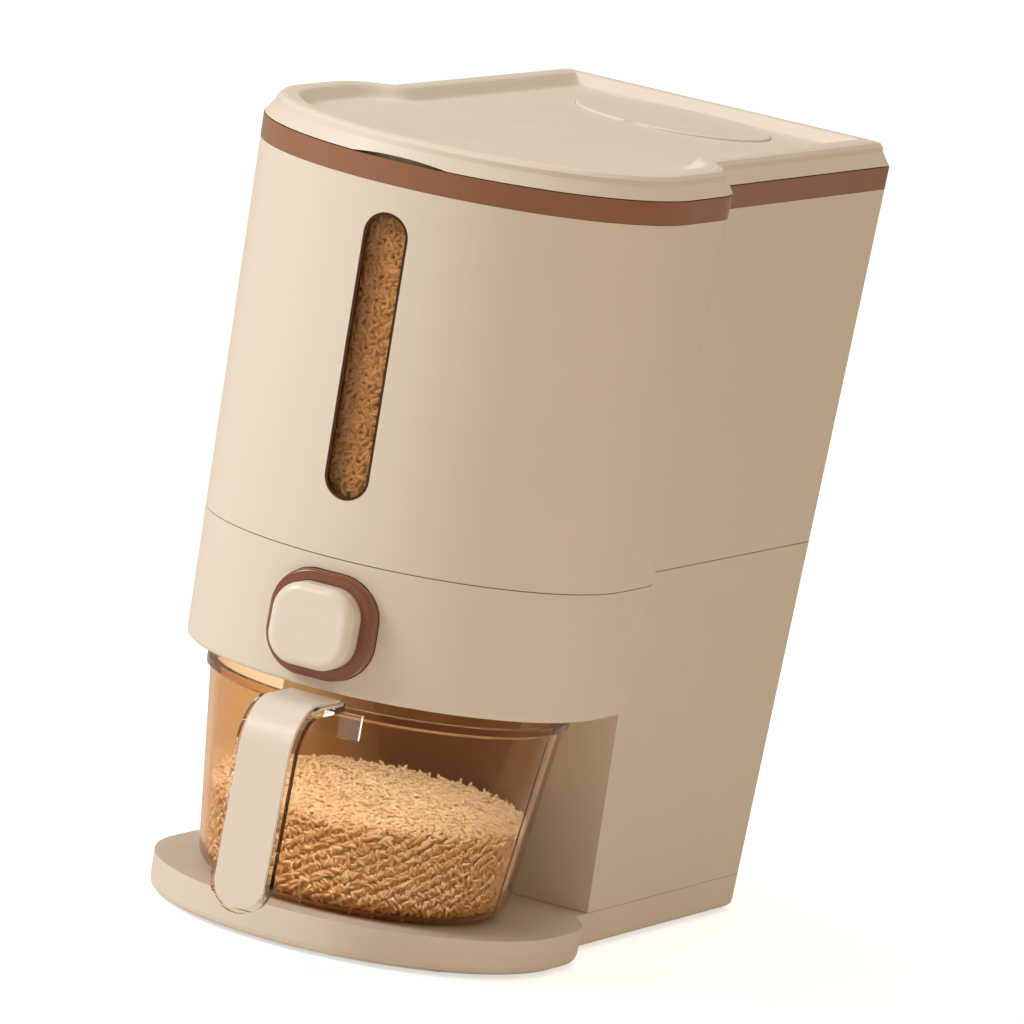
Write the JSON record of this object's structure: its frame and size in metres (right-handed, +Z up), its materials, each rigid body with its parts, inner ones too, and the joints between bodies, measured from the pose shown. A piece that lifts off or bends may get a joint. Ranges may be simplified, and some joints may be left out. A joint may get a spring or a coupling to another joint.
{
  "type": "rice dispenser with drawer cup",
  "caption": "Tall tapered rice bin with a round front lobe, window slot, push button over an amber drawer cup with a strap handle, and a hinged lid with a round repellent box.",
  "frame": {"origin": "middle of the whole object's plan, handle and hinges included, on the surface that the feet stand on", "axes": "+Z up, the front with the window, button and handle faces -Y, +X to the object's left-hand side as one faces along +Y with +X to the right"},
  "size_m": [0.1858, 0.383, 0.338],
  "materials": {
    "cream_plastic": "fine matt moulded ABS",
    "cream_gloss": "satin moulded ABS",
    "brown_gloss": "high-gloss moulded ABS",
    "brown_plastic": "moulded acetal",
    "white_plastic": "moulded polypropylene",
    "amber_clear": "clear amber SAN",
    "clear_plastic": "clear SAN",
    "steel": "plated steel",
    "rubber": "soft rubber",
    "silicone": "translucent silicone",
    "repellent_block": "pressed repellent pad in a paper sleeve",
    "rice_grain": "dry husked rice, loose"
  },
  "bodies": {
    "housing": {"base_tray": "cream_plastic", "base_cover": "cream_plastic", "base_screws": "steel", "rubber_feet": "rubber", "lower_housing": "cream_plastic", "upper_bin": "cream_plastic", "trim_band": "brown_gloss", "window_bezel": "cream_gloss", "window_lens": "amber_clear", "hopper": "white_plastic", "chute": "white_plastic", "gate_pins": "steel", "button_surround": "brown_gloss", "return_spring": "steel", "hinge_brackets": "cream_plastic", "hinge_pins": "steel"},
    "lid": {"lid_cover": "cream_plastic", "lid_liner": "white_plastic", "lid_seal": "silicone"},
    "repellent_box": {"repellent_cap": "cream_plastic", "repellent_basket": "white_plastic", "repellent_pad": "repellent_block"},
    "drawer_cup": {"cup": "amber_clear", "rice_portion": "rice_grain", "handle_frame": "clear_plastic", "handle_strap": "cream_gloss"},
    "button": {"button_cap": "cream_gloss", "push_yoke": "white_plastic"},
    "gate_flap": {"gate": "brown_plastic"}
  },
  "joints": [
    {"name": "lid_hinge", "type": "hinge", "parent": "housing", "child": "lid", "pos_m": [0, 0.18808, 0.3287], "axis": [-1, 0, 0], "range_deg": [0, 95]},
    {"name": "repellent_box_lift", "type": "slide", "parent": "lid", "child": "repellent_box", "axis": [0, 0, 1], "range_m": [0, 0.03]},
    {"name": "cup_slide", "type": "slide", "parent": "housing", "child": "drawer_cup", "axis": [0, -1, 0], "range_m": [0, 0.16]},
    {"name": "button_push", "type": "slide", "parent": "housing", "child": "button", "axis": [0, 1, 0], "range_m": [0, 0.008], "stiffness_N_per_m": 300, "springref_m": -0.008, "deforming": ["return_spring"]},
    {"name": "gate_swing", "type": "hinge", "parent": "housing", "child": "gate_flap", "pos_m": [0, -0.07373, 0.146], "axis": [1, 0, 0], "range_deg": [0, 40]}
  ],
  "couplings": [
    {"joint": "gate_swing", "follows": "button_push", "rad_per_m": 87.26}
  ]
}
